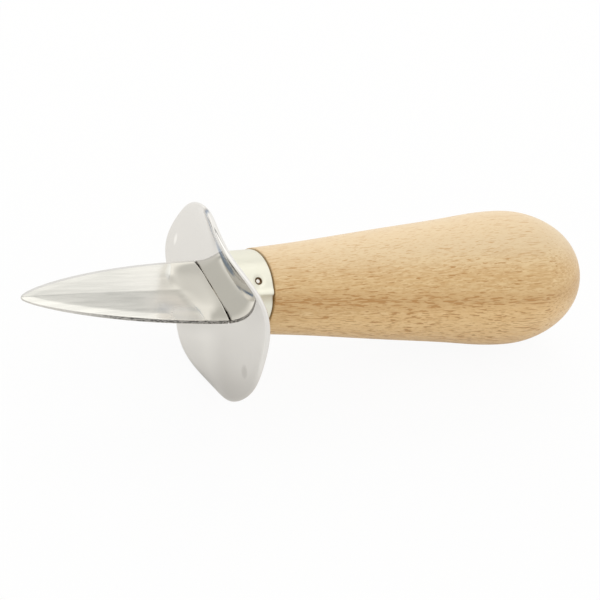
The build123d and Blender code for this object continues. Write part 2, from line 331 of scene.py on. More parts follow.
# The stage: the lamp, how much of its own light the floor shows, and the walls' blue against their red
LAMP_SIZE = (1.2, 0.8)
LAMP_PLACE = (0.1, 1.0, 0.8)
FLOOR_SEEN, FLOOR_MIRRORED = 0.93, 0.15
WALL_BLUE = 0.985


# Places on the knife


def wood_start():
    """How far behind the heel the wood's shoulder stands."""
    scene = bpy.context.scene
    return scene.knife_ferrule.end + scene.knife_handle.joint_gap


def butt_end():
    """How far behind the heel the handle ends."""
    return wood_start() + bpy.context.scene.knife_handle.length


def knife_matrix():
    """From the knife's own straight frame, heel at 0 and butt along +X, to the lying knife."""
    mount = frame["record"]["mounts"][0]
    along = Vector(mount["axis"]).normalized()
    side = Vector((0, 1, 0))
    matrix = Matrix((along, side, along.cross(side))).transposed().to_4x4()
    matrix.translation = Vector(mount["pos_m"]) - along * butt_end()
    return matrix


def blend(start, end, along):
    return start + (end - start) * along


def smooth_step(value):
    value = np.clip(value, 0, 1)
    return value * value * (3 - 2 * value)


def zone(value, *fades):
    """1 inside a zone and 0 outside: the product of its fades."""
    inside = 1.0
    for start, end in fades:
        inside = inside * smooth_step((value - start) / (end - start))
    return inside


def smooth_min(first, second, rounding):
    """The lower of two heights, with the crease between them rounded a little."""
    closeness = np.maximum(rounding - np.abs(first - second), 0) / rounding
    return np.minimum(first, second) - closeness**2 * rounding / 4


def bend(y, z):
    """The bent front of the guard: its x at places given across and up, all in metres."""
    guard = bpy.context.scene.knife_guard

    def shape(y, z):
        across = (y - guard.side_offset) / (guard.width / 2)
        upward = (z + guard.drop) / (guard.height / 2)
        rim_share = np.hypot(across, upward)
        turn = np.arctan2(upward, across)

        def rise(power):
            return np.where(rim_share < 1, rim_share**power, 1 + power * (rim_share - 1))

        total = -guard.curl * rise(3) * np.sin(turn) - guard.dish * rise(2)
        for crests, depth, phase in GUARD_WAVES:
            total = total + depth * MILLIMETRE * rise(crests) * np.cos(crests * turn - radians(phase))
        return total

    return guard.heel_gap + shape(y, z) - shape(np.float64(0), np.float64(0))


def grinding_line(across):
    """The x at which the grinding stops, at places across the blade."""
    aside = across - PLUNGE_ASIDE
    rate = np.where(aside > 0, PLUNGE_UPPER_RATE, PLUNGE_LOWER_RATE)
    curve = rate * (np.sqrt(aside**2 + PLUNGE_ROUNDING**2) - PLUNGE_ROUNDING)
    return curve - PLUNGE_DISTANCE - PLUNGE_BULGE * zone(across, *PLUNGE_BULGE_FADES)


def ferrule_radius(x):
    """The ferrule's outer radius, which grows evenly from the guard to the wood."""
    ferrule = bpy.context.scene.knife_ferrule
    return blend(ferrule.front_diameter, ferrule.diameter, np.clip(x / ferrule.end, 0, 1)) / 2


def pin_distance():
    """How far behind the heel the pins stand."""
    ferrule = bpy.context.scene.knife_ferrule
    return ferrule.end - ferrule.pin_setback


# Meshes


def around(x, radius, turn):
    """Points round the knife's axis."""
    return np.stack([x, radius * np.cos(turn), radius * np.sin(turn)], axis=1)


def quads(rows, columns, close_rows=False, close_columns=False):
    """Faces of a grid whose points are numbered row by row."""
    faces = []
    for row in range(rows if close_rows else rows - 1):
        for column in range(columns if close_columns else columns - 1):
            right = (column + 1) % columns
            here, below = row * columns, (row + 1) % rows * columns
            faces.append((here + column, here + right, below + right, below + column))
    return faces


def tube(rows, columns):
    """Faces of a row of rings that is closed by a flat face at each end."""
    ends = [tuple(range(first, first + columns)) for first in (0, (rows - 1) * columns)]
    return quads(rows, columns, close_columns=True) + ends


def band(first, second):
    """Faces between two closed rings of points."""
    return list(zip(first, first[1:] + first[:1], second[1:] + second[:1], second))


def add_piece(name, points, faces, materials, replaced=(), own_material=None):
    """A smooth mesh in the knife's own frame, put in place and given to the frame's one body."""
    mesh = bpy.data.meshes.new(name)
    mesh.from_pydata([tuple(point) for point in points], [], faces)
    for material in materials:
        mesh.materials.append(material)
    if own_material is not None:
        mesh.polygons.foreach_set("material_index", own_material)
    tidy = bmesh.new()
    tidy.from_mesh(mesh)
    bmesh.ops.recalc_face_normals(tidy, faces=tidy.faces)
    tidy.to_mesh(mesh)
    tidy.free()
    mesh.shade_smooth()
    piece = bpy.data.objects.new(name, mesh)
    bpy.context.scene.collection.objects.link(piece)
    piece.matrix_world = knife_matrix()
    bpy.context.view_layer.update()
    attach(piece, "root")
    if replaced:
        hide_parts(*replaced)
    return piece


def spline(knots, count):
    """A smooth curve through the knots, even along its chords, with free ends."""
    stops = np.concatenate([[0], np.cumsum(np.linalg.norm(np.diff(knots, axis=0), axis=1))])
    gaps = np.diff(stops)
    size = len(knots)
    left = np.eye(size)
    right = np.zeros_like(knots)
    for i in range(1, size - 1):
        left[i, i - 1 : i + 2] = gaps[i - 1], 2 * (gaps[i - 1] + gaps[i]), gaps[i]
        right[i] = 6 * ((knots[i + 1] - knots[i]) / gaps[i] - (knots[i] - knots[i - 1]) / gaps[i - 1])
    curve = np.linalg.solve(left, right)
    places = np.linspace(0, stops[-1], count)
    span = np.clip(np.searchsorted(stops, places, side="right") - 1, 0, size - 2)
    gap = gaps[span][:, None]
    after = (places - stops[span])[:, None]
    before = gap - after
    return (
        (curve[span] * before**3 + curve[span + 1] * after**3) / (6 * gap)
        + (knots[span] / gap - curve[span] * gap / 6) * before
        + (knots[span + 1] / gap - curve[span + 1] * gap / 6) * after
    )


# Materials


class Nodes:
    """A node tree under construction. An input may be a number, a colour or another node's output."""

    def __init__(self, tree):
        self.tree = tree

    def node(self, kind, inputs=None, **settings):
        made = self.tree.nodes.new(kind)
        for key, value in settings.items():
            setattr(made, key, value)
        for key, value in (inputs or {}).items():
            self.set(made.inputs[key], value)
        return made

    def set(self, socket, value):
        if isinstance(value, bpy.types.NodeSocket):
            self.tree.links.new(value, socket)
        else:
            socket.default_value = value

    def math(self, operation, *values):
        return self.node("ShaderNodeMath", dict(enumerate(values)), operation=operation).outputs[0]

    def product(self, first, *others):
        for value in others:
            first = self.math("MULTIPLY", first, value)
        return first

    def ranged(self, value, low, high, to_low=0.0, to_high=1.0, smooth=True):
        """A value taken from one range to another, and held at its ends."""
        inputs = {0: value, 1: low, 2: high, 3: to_low, 4: to_high}
        kind = "SMOOTHSTEP" if smooth else "LINEAR"
        return self.node("ShaderNodeMapRange", inputs, interpolation_type=kind).outputs[0]

    def zone(self, value, *fades):
        """1 inside a zone and 0 outside: the product of its fades."""
        return self.product(*[self.ranged(value, start, end) for start, end in fades])

    def mix(self, amount, first, second):
        return self.node("ShaderNodeMix", {0: amount, 6: first, 7: second}, data_type="RGBA").outputs[2]


class Finish(Nodes):
    """A material under construction, in the coordinates of the knife's own frame."""

    def __init__(self, name):
        self.material = bpy.data.materials.new(name)
        self.material.use_nodes = True
        super().__init__(self.material.node_tree)
        self.shader = self.tree.nodes["Principled BSDF"]
        self.coordinates = self.node("ShaderNodeTexCoord").outputs
        self.x, self.y, self.z = self.node("ShaderNodeSeparateXYZ", {0: self.coordinates["Object"]}).outputs

    def grain(self, scale, turn=(0, 0, 0), detail=2.0, roughness=0.5):
        """Noise, drawn out along the axes with a small scale."""
        inputs = {"Vector": self.coordinates["Object"], "Scale": scale, "Rotation": turn}
        place = self.node("ShaderNodeMapping", inputs).outputs[0]
        inputs = {"Vector": place, "Scale": 1.0, "Detail": detail, "Roughness": roughness}
        return self.node("ShaderNodeTexNoise", inputs).outputs[0]

    def towards(self, turn, middle=(0, 0)):
        """How far a place lies from the middle, in one direction across the knife's axis."""
        start = -middle[0] * cos(turn) - middle[1] * sin(turn)
        upward = self.math("MULTIPLY_ADD", self.z, sin(turn), start)
        return self.math("MULTIPLY_ADD", self.y, cos(turn), upward)

    def oval(self, middle, lean, reach, breadth):
        """A soft oval across the knife's axis, 1 in its middle; its long axis leans from the upright."""
        along = self.math("DIVIDE", self.towards(pi / 2 - lean, middle), reach)
        across = self.math("DIVIDE", self.towards(-lean, middle), breadth)
        return self.ranged(self.math("MULTIPLY_ADD", along, along, self.product(across, across)), 1.0, 0.0)

    def bump(self, height, distance, strength=1.0, normal=None):
        inputs = {"Height": height, "Distance": distance, "Strength": strength}
        if normal is not None:
            inputs["Normal"] = normal
        return self.node("ShaderNodeBump", inputs).outputs[0]

    def finish(self, **inputs):
        for key, value in inputs.items():
            self.set(self.shader.inputs[key.replace("_", " ")], value)
        return self.material


def rgba(values, factor=1.0):
    return (*[min(value * factor, 1.0) for value in values], 1.0)


def behind_line(finish):
    """How far a place on the blade lies behind the grinding line."""
    aside = finish.math("SUBTRACT", finish.y, PLUNGE_ASIDE)
    reach = finish.math("SQRT", finish.math("MULTIPLY_ADD", aside, aside, PLUNGE_ROUNDING**2))
    upper = finish.math("GREATER_THAN", aside, 0.0)
    rate = finish.math("MULTIPLY_ADD", upper, PLUNGE_UPPER_RATE - PLUNGE_LOWER_RATE, PLUNGE_LOWER_RATE)
    curve = finish.product(rate, finish.math("SUBTRACT", reach, PLUNGE_ROUNDING))
    behind = finish.math("ADD", finish.math("SUBTRACT", finish.x, curve), PLUNGE_DISTANCE)
    return finish.math("MULTIPLY_ADD", finish.zone(finish.y, *PLUNGE_BULGE_FADES), PLUNGE_BULGE, behind)


def ground_steel():
    """Satin steel with fine belt marks along the blade, a smoother plain heel and a blurred corner by it, and
    painted light on the steel before the grinding line and in that corner.
    """
    blade = bpy.context.scene.knife_blade
    finish = Finish("ground_steel")
    behind = behind_line(finish)
    plain = finish.zone(behind, PLAIN_FADE)
    fine = finish.grain((150, 6000, 6000), detail=3)
    broad = finish.grain((60, 700, 700), detail=3)
    cloud = finish.grain((60, 160, 160), detail=1)
    streak = finish.product(finish.ranged(broad, 0.35, 0.65), finish.math("SUBTRACT", 1.0, plain))
    # Painted light: brighter steel just before the grinding line, strongest on the lower side
    near = finish.product(finish.zone(finish.x, NEAR_FADE_X), finish.zone(behind, NEAR_FADE_BEHIND))
    near = finish.product(near, finish.ranged(finish.y, *NEAR_FADE_Y, to_low=0.3, to_high=0.95))
    # The corner gets rougher steel, and painted light in its lower part
    corner = finish.product(finish.zone(finish.x, *CORNER_FADES_X), finish.zone(finish.y, CORNER_FADE_Y))
    bright = finish.product(corner, finish.zone(finish.y, BRIGHT_FADE_Y))
    tone = finish.mix(cloud, rgba(blade.steel, 0.97), rgba(blade.steel, 1.03))
    tone = finish.mix(streak, tone, rgba(blade.steel, 0.92))
    tone = finish.mix(near, tone, rgba(blade.heel_painted_light))
    satin = finish.ranged(fine, 0.3, 0.7, to_low=0.16, to_high=0.22)
    sheen = finish.math("MULTIPLY_ADD", finish.math("SUBTRACT", 0.08, satin), plain, satin)
    marks = finish.math("MULTIPLY_ADD", fine, 0.2, broad)
    return finish.finish(
        Base_Color=finish.mix(bright, tone, rgba(blade.corner_painted_light)),
        Metallic=1.0,
        Roughness=finish.math("MULTIPLY_ADD", corner, 0.26, sheen),
        Normal=finish.bump(marks, 0.00002, finish.math("MULTIPLY_ADD", plain, -0.55, 0.6)),
    )


def edge_steel():
    """The blunt edges, left rough from the stamping and rubbed lighter towards the tip."""
    blade = bpy.context.scene.knife_blade
    finish = Finish("edge_steel")
    grain = finish.grain((1300, 1300, 2500), detail=4, roughness=0.7)
    pits = finish.ranged(grain, 0.4, 0.6)
    tone = finish.mix(pits, rgba(blade.edge_steel, 0.35), rgba(blade.edge_steel, 1.7))
    rubbed = finish.ranged(finish.x, *RUBBED_FADE_X, to_high=0.7)
    return finish.finish(
        Base_Color=finish.mix(rubbed, tone, rgba(blade.tip_steel)),
        Metallic=1.0,
        Roughness=0.45,
        Normal=finish.bump(grain, 0.00008, 0.6),
    )


def honed_steel():
    """The last of one bevel beside the blunt edge, greyer than the rest."""
    blade = bpy.context.scene.knife_blade
    finish = Finish("honed_steel")
    marks = finish.grain((300, 2500, 2500), detail=3)
    tone = finish.mix(marks, rgba(blade.honed_dark), rgba(blade.honed_light))
    return finish.finish(Base_Color=tone, Metallic=1.0, Roughness=0.25)


def blue_reflection_mask(finish, above):
    """Where the painted blue reflection lies on the guard: an arched streak with a weak break in it, fainter on
    its left.
    """
    apart = finish.math("ABSOLUTE", finish.math("SUBTRACT", finish.y, BLUE_REFLECTION_BREAK))
    broken = finish.ranged(apart, *BLUE_REFLECTION_BREAK_FADE, to_low=0.3)
    strength = finish.ranged(finish.y, *BLUE_REFLECTION_WEAKER_FADE, to_low=0.95, to_high=0.55)
    streak = finish.product(finish.zone(above, *BLUE_REFLECTION_FADES_ABOVE), finish.zone(finish.y, *BLUE_REFLECTION_FADES_Y))
    return finish.product(streak, broken, strength)


def shade_mask(finish, above, down):
    """Where painted shade greys the guard: beside the blue reflection and towards its foot, and a dark painted
    reflection on its right.
    """
    # Painted shade beside the blue reflection
    shade = finish.product(finish.ranged(above, *SHADE_RISE, smooth=False), finish.zone(above, SHADE_END))
    shade = finish.product(shade, shade, finish.zone(finish.y, *SHADE_FADES_Y))
    # Painted shade towards the foot, and a dark painted reflection in an oval
    foot = finish.ranged(down, *FOOT_FADE, to_high=0.5)
    dark_reflection = finish.product(finish.oval(**DARK_REFLECTION), 0.5)
    return finish.math("MAXIMUM", shade, finish.math("MAXIMUM", foot, dark_reflection))


def mirror_steel():
    """Polished steel with faint waves and hairlines. Painted on it are a blue painted reflection, painted shade
    and painted reflected light with a glint, for what the real one mirrors."""
    guard = bpy.context.scene.knife_guard
    finish = Finish("mirror_steel")
    wave = finish.grain((90, 90, 90), detail=1)
    hair = finish.grain((900, 300, 6000), (0.6, 0.2, 0))
    smudge = finish.grain((150, 150, 220), detail=3)
    facing = finish.node("ShaderNodeSeparateXYZ", {0: finish.coordinates["Normal"]}).outputs[0]
    front = finish.zone(facing, FRONT_FACE)
    arch = finish.math("POWER", finish.math("ADD", finish.y, BLUE_REFLECTION_MIDDLE), 2.0)
    above = finish.math("SUBTRACT", finish.z, finish.math("MULTIPLY_ADD", arch, BLUE_REFLECTION_BEND, BLUE_REFLECTION_HEIGHT))
    down, right = finish.towards(GUARD_DOWN), finish.towards(GUARD_RIGHT)
    # Painted reflected light low on the left wing, and a painted glint in the same colour
    reflected_light = finish.product(finish.zone(right, REFLECTED_LIGHT_FADE_RIGHT), finish.zone(down, REFLECTED_LIGHT_FADE_DOWN))
    tone = finish.mix(reflected_light, rgba(guard.steel), rgba(guard.reflected_light))
    tone = finish.mix(finish.oval(**GLINT), tone, rgba(guard.reflected_light))
    # Painted shade and a dark painted reflection, on the front face only
    tone = finish.mix(finish.product(shade_mask(finish, above, down), front), tone, rgba(guard.shade))
    # The painted blue reflection, on the front face only, goes on last
    return finish.finish(
        Base_Color=finish.mix(finish.product(blue_reflection_mask(finish, above), front), tone, rgba(guard.blue_reflection)),
        Metallic=1.0,
        Roughness=finish.ranged(smudge, 0.45, 0.8, to_low=0.05, to_high=0.12),
        Normal=finish.bump(hair, 0.000002, 0.3, finish.bump(wave, 0.00004, 0.12)),
    )


def ferrule_metal():
    """Pale satin aluminium with fine turning marks, and painted shade in the fold with a painted highlight on
    its lip.
    """
    ferrule = bpy.context.scene.knife_ferrule
    finish = Finish("ferrule_metal")
    rings = finish.grain((5000, 150, 150))
    cloud = finish.grain((200, 200, 200))
    down = finish.towards(FOLD_TURN + pi / 2)
    near = finish.zone(finish.y, FOLD_FADE_Y)
    # Painted shade in the fold and a painted highlight on its lip
    fold_shade_zone = finish.product(finish.zone(down, *FOLD_SHADE_FADES), finish.zone(finish.x, FOLD_SHADE_FADE_X), near, 0.8)
    lip_highlight = finish.product(finish.zone(down, *LIP_HIGHLIGHT_FADES), near)
    tone = finish.mix(cloud, rgba(ferrule.metal, 0.97), rgba(ferrule.metal, 1.02))
    tone = finish.mix(lip_highlight, tone, rgba(ferrule.metal, 1.16))
    return finish.finish(
        Base_Color=finish.mix(fold_shade_zone, tone, rgba(ferrule.fold_shade)),
        Metallic=1.0,
        Roughness=finish.ranged(cloud, 0.3, 0.7, to_low=0.3, to_high=0.4),
        Normal=finish.bump(rings, 0.00001, 0.3),
    )


def hole_shade():
    """The sheet's edge in the pin holes, painted dark brown for the shade in the holes."""
    ferrule = bpy.context.scene.knife_ferrule
    finish = Finish("hole_shade")
    tone = finish.mix(finish.grain((2500, 2500, 2500)), rgba(ferrule.dark_hole_shade), rgba(ferrule.light_hole_shade))
    return finish.finish(Base_Color=tone, Metallic=0.6, Roughness=0.5)


def pin_steel():
    """Plain bright brads."""
    finish = Finish("pin_steel")
    steel = rgba(bpy.context.scene.knife_fixings.pin_steel)
    dents = finish.bump(finish.grain((3000, 3000, 3000)), 0.00002, 0.4)
    return finish.finish(Base_Color=steel, Metallic=1.0, Roughness=0.2, Normal=dents)


def cured_resin():
    """Amber adhesive round the tang."""
    fixings = bpy.context.scene.knife_fixings
    finish = Finish("cured_resin")
    cloud = finish.grain((400, 400, 400), detail=3)
    tone = finish.mix(cloud, rgba(fixings.dark_resin), rgba(fixings.light_resin))
    return finish.finish(Base_Color=tone, Roughness=0.4, Normal=finish.bump(cloud, 0.00005, 0.4))


def beech():
    """Steamed beech: flat growth layers, fine fibres and short dark rays, all along the handle."""
    handle = bpy.context.scene.knife_handle
    finish = Finish("beech")
    wander = finish.grain((14, 90, 90))
    depth = finish.math("MULTIPLY_ADD", finish.x, GROWTH_SLOPE, finish.z)
    depth = finish.math("MULTIPLY_ADD", wander, GROWTH_WANDER, depth)
    layer = {"W": finish.product(depth, GROWTH_RATE), "Scale": 1.0, "Detail": 2.0}
    growth = finish.node("ShaderNodeTexNoise", layer, noise_dimensions="1D").outputs[0]
    cloud = finish.grain((22, 60, 60))
    fibre = finish.grain((240, 2300, 2300), (0, 0.05, 0.06), detail=3, roughness=0.6)
    line = finish.math("ABSOLUTE", finish.math("SUBTRACT", depth, LINE_DEPTH))
    front = finish.towards(FRONT_TURN)

    warm = finish.math("MULTIPLY_ADD", growth, 0.9, finish.product(cloud, 0.5))
    warm = finish.math("MULTIPLY_ADD", fibre, 1.8, warm)
    tone = finish.mix(finish.ranged(warm, 1.25, 1.95), rgba(handle.light_wood), rgba(handle.warm_wood))
    tone = finish.mix(finish.ranged(line, 0.0, LINE_REACH, 0.5, 0.0), tone, rgba(handle.warm_wood, 0.85))
    tone = finish.mix(finish.ranged(line, *LINE_BAND, 0.6, 0.0), tone, rgba(handle.warm_wood))
    # Painted sheen on the upper side and painted light on the lower side
    tone = finish.mix(finish.ranged(front, *UPPER_SHEEN_FADE, to_high=0.85), tone, rgba(handle.upper_sheen))
    tone = finish.mix(finish.ranged(front, *LOWER_SIDE_LIGHT_FADE, to_high=0.5), tone, rgba(handle.lower_side_light))

    rays = finish.grain((190, 2600, 2600), (0, 0.05, 0.07), detail=1.5)
    patches = finish.grain((45, 150, 150), detail=1)
    pores = finish.grain((500, 4200, 4200), (0, 0.05, 0.07), detail=1)
    more = finish.ranged(finish.z, *RAY_FADE_Z, to_high=0.045)
    more = finish.math("ADD", more, finish.ranged(line, 0.0, LINE_RAY_REACH, 0.115, 0.0))
    level = finish.math("SUBTRACT", RAY_LEVEL, finish.math("MULTIPLY_ADD", patches, 0.1, more))
    calm = finish.ranged(finish.x, *CALM_BUTT, to_low=1.0, to_high=0.3)
    calm = finish.product(calm, finish.ranged(front, *CALM_FRONT, to_low=1.0, to_high=0.6))
    ray = finish.product(finish.ranged(finish.math("SUBTRACT", rays, level), 0.0, 0.07, to_high=0.88), calm)
    pore = finish.product(finish.ranged(pores, 0.57, 0.68, to_high=0.55), calm)
    tone = finish.mix(ray, tone, rgba(handle.fleck))
    tone = finish.mix(pore, tone, rgba(handle.fleck, 1.1))
    # Painted shade on the wood at the joint with the ferrule
    joint_shade = finish.ranged(finish.x, wood_start(), wood_start() + JOINT_SHADE_REACH, 0.35, 0.0)
    dents = finish.math("MULTIPLY_ADD", fibre, 0.3, finish.math("ADD", ray, pore))
    return finish.finish(
        Base_Color=finish.mix(joint_shade, tone, rgba(handle.fleck, 0.35)),
        Roughness=finish.ranged(fibre, 0.3, 0.7, to_low=0.42, to_high=0.52),
        Specular_IOR_Level=0.8,
        Sheen_Weight=0.2,
        Sheen_Roughness=0.4,
        Normal=finish.bump(finish.product(dents, -1.0), 0.00006, 0.4),
    )


# Pieces


def blade_rows(whole):
    """Distances of the blade's cross sections from the tip, up to its whole length."""
    run_out, heel = (whole - distance for distance in RUN_OUT_SPAN)
    tip = [distance for distance, part in TIP_SECTIONS]
    spear = (np.arange(SPEAR_ROWS) / SPEAR_ROWS) ** SPEAR_CLOSENESS * run_out
    closer = np.linspace(run_out, heel, RUN_OUT_ROWS)
    plain = np.linspace(whole - HEEL_SPAN, whole, HEEL_ROWS)
    return np.concatenate([tip, spear[spear > SPEAR_START], closer, plain])


def blade_surface(rows):
    """The blade's upper surface row by row: places across, heights, half widths and edge roundings."""
    blade = bpy.context.scene.knife_blade
    along = rows / blade.length
    spear = (1 - (1 - along) ** blade.fullness) ** blade.roundness
    edge_y = blend(blade.tip_width, blade.width, spear) / 2
    grown = np.sin(np.minimum(1, along / THICKNESS_REACH) * pi / 2)
    edge_z = blend(blade.tip_edge, blade.heel_edge, grown) / 2
    inner = edge_y - blend(blade.tip_bevel, blade.bevel, along)
    shoulder_y = (inner + np.sqrt(inner**2 + SHOULDER_ROUNDING**2)) / 2
    shoulder_z = edge_z + tan(blade.bevel_slope) * (edge_y - shoulder_y)
    ridge_z = shoulder_z + tan(blade.facet_slope) * shoulder_y
    corner = np.minimum(EDGE_ROUNDING, np.minimum(edge_y, edge_z) / 3)
    half = [shoulder_y * part for part in FACET_PARTS]
    half += [blend(shoulder_y, edge_y - corner, part) for part in BEVEL_PARTS]
    half = np.array(half)
    across = np.concatenate([-half[:0:-1], half])
    reach = np.sqrt(across**2 + RIDGE_ROUNDING**2) - RIDGE_ROUNDING
    facet = ridge_z - (ridge_z - shoulder_z) * reach / shoulder_y
    bevel = shoulder_z - (shoulder_z - edge_z) * (np.abs(across) - shoulder_y) / (edge_y - shoulder_y)
    ground = smooth_min(facet, bevel, BEVEL_ROUNDING)
    crown = blend(blade.heel_thickness / 2, edge_z, np.abs(across / edge_y) ** CROWN_POWER)
    run_out = blend(LOWER_RUN_OUT, UPPER_RUN_OUT, zone(across, RUN_OUT_FADE))
    behind = np.clip((rows - blade.length - grinding_line(across)) / run_out, 0, 1)
    return across, blend(ground, crown, 1 - (1 - behind) ** 2), edge_y, corner


def make_blade():
    """The spear blade with its ridge, bevels, ground run-out and plain heel."""
    blade = bpy.context.scene.knife_blade
    rows = blade_rows(blade.length)
    across, height, edge_y, corner = blade_surface(rows)
    turns = np.linspace(0, pi / 2, EDGE_STEPS + 1)[1:]
    right_y = [edge_y - corner + corner * sin(turn) for turn in turns]
    right_z = [height[-1] - corner + corner * cos(turn) for turn in turns]
    left_z = [height[0] - corner + corner * cos(turn) for turn in turns]
    top_y = np.concatenate([[-y for y in right_y][::-1], across, right_y])
    top_z = np.concatenate([left_z[::-1], height, right_z])
    tip_rows = len(TIP_SECTIONS)
    shrink = np.ones((len(rows), 1))
    shrink[:tip_rows, 0] = [part for distance, part in TIP_SECTIONS]
    loop_y = np.concatenate([top_y, top_y[::-1]]).T * shrink
    loop_z = np.concatenate([top_z, -top_z[::-1]]).T * shrink
    loop_x = np.broadcast_to((rows - blade.length)[:, None], loop_y.shape)
    corners = zone(np.abs(loop_y), HEEL_CORNER_FADE_Y) * zone(loop_x, HEEL_CORNER_FADE_X)
    points = np.stack([loop_x - HEEL_CORNER_DROP * corners, loop_y, loop_z], axis=2)
    count, columns = len(top_y), 2 * len(top_y)
    edges = [0, count - 1, count, columns - 1]
    worn = np.random.default_rng(7).uniform(0, EDGE_ROUGHNESS, (len(rows) - tip_rows - 1, len(edges)))
    points[tip_rows:-1, edges, 1] -= np.sign(points[tip_rows:-1, edges, 1]) * worn

    materials = [ground_steel(), edge_steel(), honed_steel()]
    ground, edge, honed = range(len(materials))
    kinds = [ground] * columns
    kinds[count - 1] = kinds[columns - 1] = edge
    kinds[count - 1 - HONED_COLUMNS : count - 1] = [honed] * HONED_COLUMNS
    faces = quads(len(rows), columns, close_columns=True)
    for first in (0, (len(rows) - 1) * columns):
        last = first + columns - 1
        for column in range(count - 1):
            faces.append((first + column, first + column + 1, last - 1 - column, last - column))
    own_material = kinds * (len(rows) - 1) + [edge] * (2 * (count - 1))
    turn = Matrix.Rotation(blade.roll, 3, "X") @ Matrix.Rotation(blade.pitch, 3, "Y")
    points = points.reshape(-1, 3) @ np.array(turn).T + (0, blade.side_offset, blade.rise)
    return add_piece("blade_ground", points, faces, materials, ["blade"], own_material)


def make_tang():
    """The flat tapering tang behind the heel, inside the guard, the ferrule and the handle."""
    blade = bpy.context.scene.knife_blade
    points = [
        (x, y * half_width, z * half_thickness)
        for x, half_width, half_thickness in TANG_STATIONS
        for y, z in TANG_SECTION
    ]
    points = np.array(points) * MILLIMETRE + (0, blade.side_offset, blade.rise)
    faces = tube(len(TANG_STATIONS), len(TANG_SECTION))
    return add_piece("blade_tang", points, faces, [edge_steel()])


def make_guard():
    """The bent oval plate with its rounded rim and the slot for the tang."""
    guard = bpy.context.scene.knife_guard
    blade = bpy.context.scene.knife_blade
    turn = np.linspace(0, tau, GUARD_COLUMNS, endpoint=False)
    slot_y = np.clip(SLOT_OVAL[0] * np.cos(turn), -SLOT_HALF[0], SLOT_HALF[0]) + blade.side_offset
    slot_z = np.clip(SLOT_OVAL[1] * np.sin(turn), -SLOT_HALF[1], SLOT_HALF[1]) + blade.rise

    def rim_rings(radius):
        rings = [(part, radius, 0.0) for part in np.linspace(0, 1, GUARD_RINGS) ** GUARD_CLOSENESS]
        steps = np.linspace(0, pi / 2, RIM_STEPS + 1)[1:]
        return rings + [(1.0, radius * (1 - sin(step)), radius * (1 - cos(step))) for step in steps]

    back = [(part, inset, guard.thickness - down) for part, inset, down in rim_rings(guard.back_radius)]
    points = []
    for part, inset, down in rim_rings(guard.front_radius) + back[::-1]:
        rim_y = (guard.width / 2 - inset) * np.cos(turn) + guard.side_offset
        rim_z = (guard.height / 2 - inset) * np.sin(turn) - guard.drop
        y = blend(slot_y, rim_y, part)
        z = blend(slot_z, rim_z, part)
        slope_y = (bend(y + SLOPE_STEP, z) - bend(y - SLOPE_STEP, z)) / (2 * SLOPE_STEP)
        slope_z = (bend(y, z + SLOPE_STEP) - bend(y, z - SLOPE_STEP)) / (2 * SLOPE_STEP)
        x = bend(y, z) + down * np.sqrt(1 + slope_y**2 + slope_z**2)
        points.append(np.stack([x, y, z], axis=1))
    faces = quads(len(points), GUARD_COLUMNS, close_rows=True, close_columns=True)
    return add_piece("guard_plate", np.concatenate(points), faces, [mirror_steel()], ["guard"])


def ferrule_rows(turns):
    """The x of the ferrule's points, row by row from the guard's bent back to the rounded end."""
    ferrule = bpy.context.scene.knife_ferrule
    seat = bpy.context.scene.knife_guard.thickness + ferrule.seat_gap
    radius = ferrule_radius(SEAT_REACH)
    front = bend(radius * np.cos(turns), radius * np.sin(turns)) + seat
    patch_start, patch_end = pin_distance() - PATCH_HALF, pin_distance() + PATCH_HALF
    rows = [blend(front, patch_start, part) for part in np.linspace(0, 1, FRONT_ROWS, endpoint=False)]
    level = list(np.linspace(patch_start, patch_end, PATCH_CELLS + 1))
    level += [blend(patch_end, ferrule.end - ferrule.edge_radius, part) for part in BACK_ROWS]
    level += [ferrule.end - ferrule.edge_radius * (1 - sin(step)) for step in np.linspace(0, pi / 2, END_STEPS)]
    return np.array(rows + [np.full(len(turns), x) for x in level])


def patch_border():
    """The mesh's points round the border of a pin's patch, as (row, column)."""
    cells = range(PATCH_CELLS)
    border = [(0, step) for step in cells] + [(step, PATCH_CELLS) for step in cells]
    border += [(PATCH_CELLS, PATCH_CELLS - step) for step in cells]
    return border + [(PATCH_CELLS - step, 0) for step in cells]


def dimple(pin):
    """A pin's dimple as (x, turn, depth), ring by ring from the patch's square border to the round hole."""
    ferrule = bpy.context.scene.knife_ferrule
    hole = ferrule.hole_diameter / 2
    square = (np.array(patch_border())[:, ::-1] * 2 / PATCH_CELLS - 1) * PATCH_HALF
    out = np.arctan2(square[:, 1], square[:, 0])
    circle = np.stack([np.cos(out), np.sin(out)], axis=1)
    rings = []
    for width in RING_WIDTHS_MM:
        radius = hole + width * MILLIMETRE
        roundness = min(1.0, (PATCH_HALF - radius) / PATCH_BLEND)
        rings.append(blend(square * (radius / PATCH_HALF), circle * radius, roundness))
    aside, along = np.concatenate(rings).T
    distance = np.hypot(aside, along)
    depth = ferrule.dimple_depth * zone(distance, (ferrule.dimple_diameter / 2 + DIMPLE_BLEND, DIMPLE_FLOOR))
    depth = depth + HOLE_RIM_SLOPE * np.maximum(hole + HOLE_RIM - distance, 0)
    turn = pin + aside / ferrule_radius(pin_distance())
    return np.stack([pin_distance() + along, turn, depth], axis=1)


def fold_height(x, turn):
    """A soft fold below the upper pin: a crest, and below its steep lower flank a hollow."""
    down = (turn % tau - FOLD_TURN) * ferrule_radius(pin_distance())
    fold = FOLD_CREST * zone(down, *CREST_FADES) - FOLD_HOLLOW * zone(down, *HOLLOW_FADES)
    return fold * zone(x, FOLD_FADE_X)


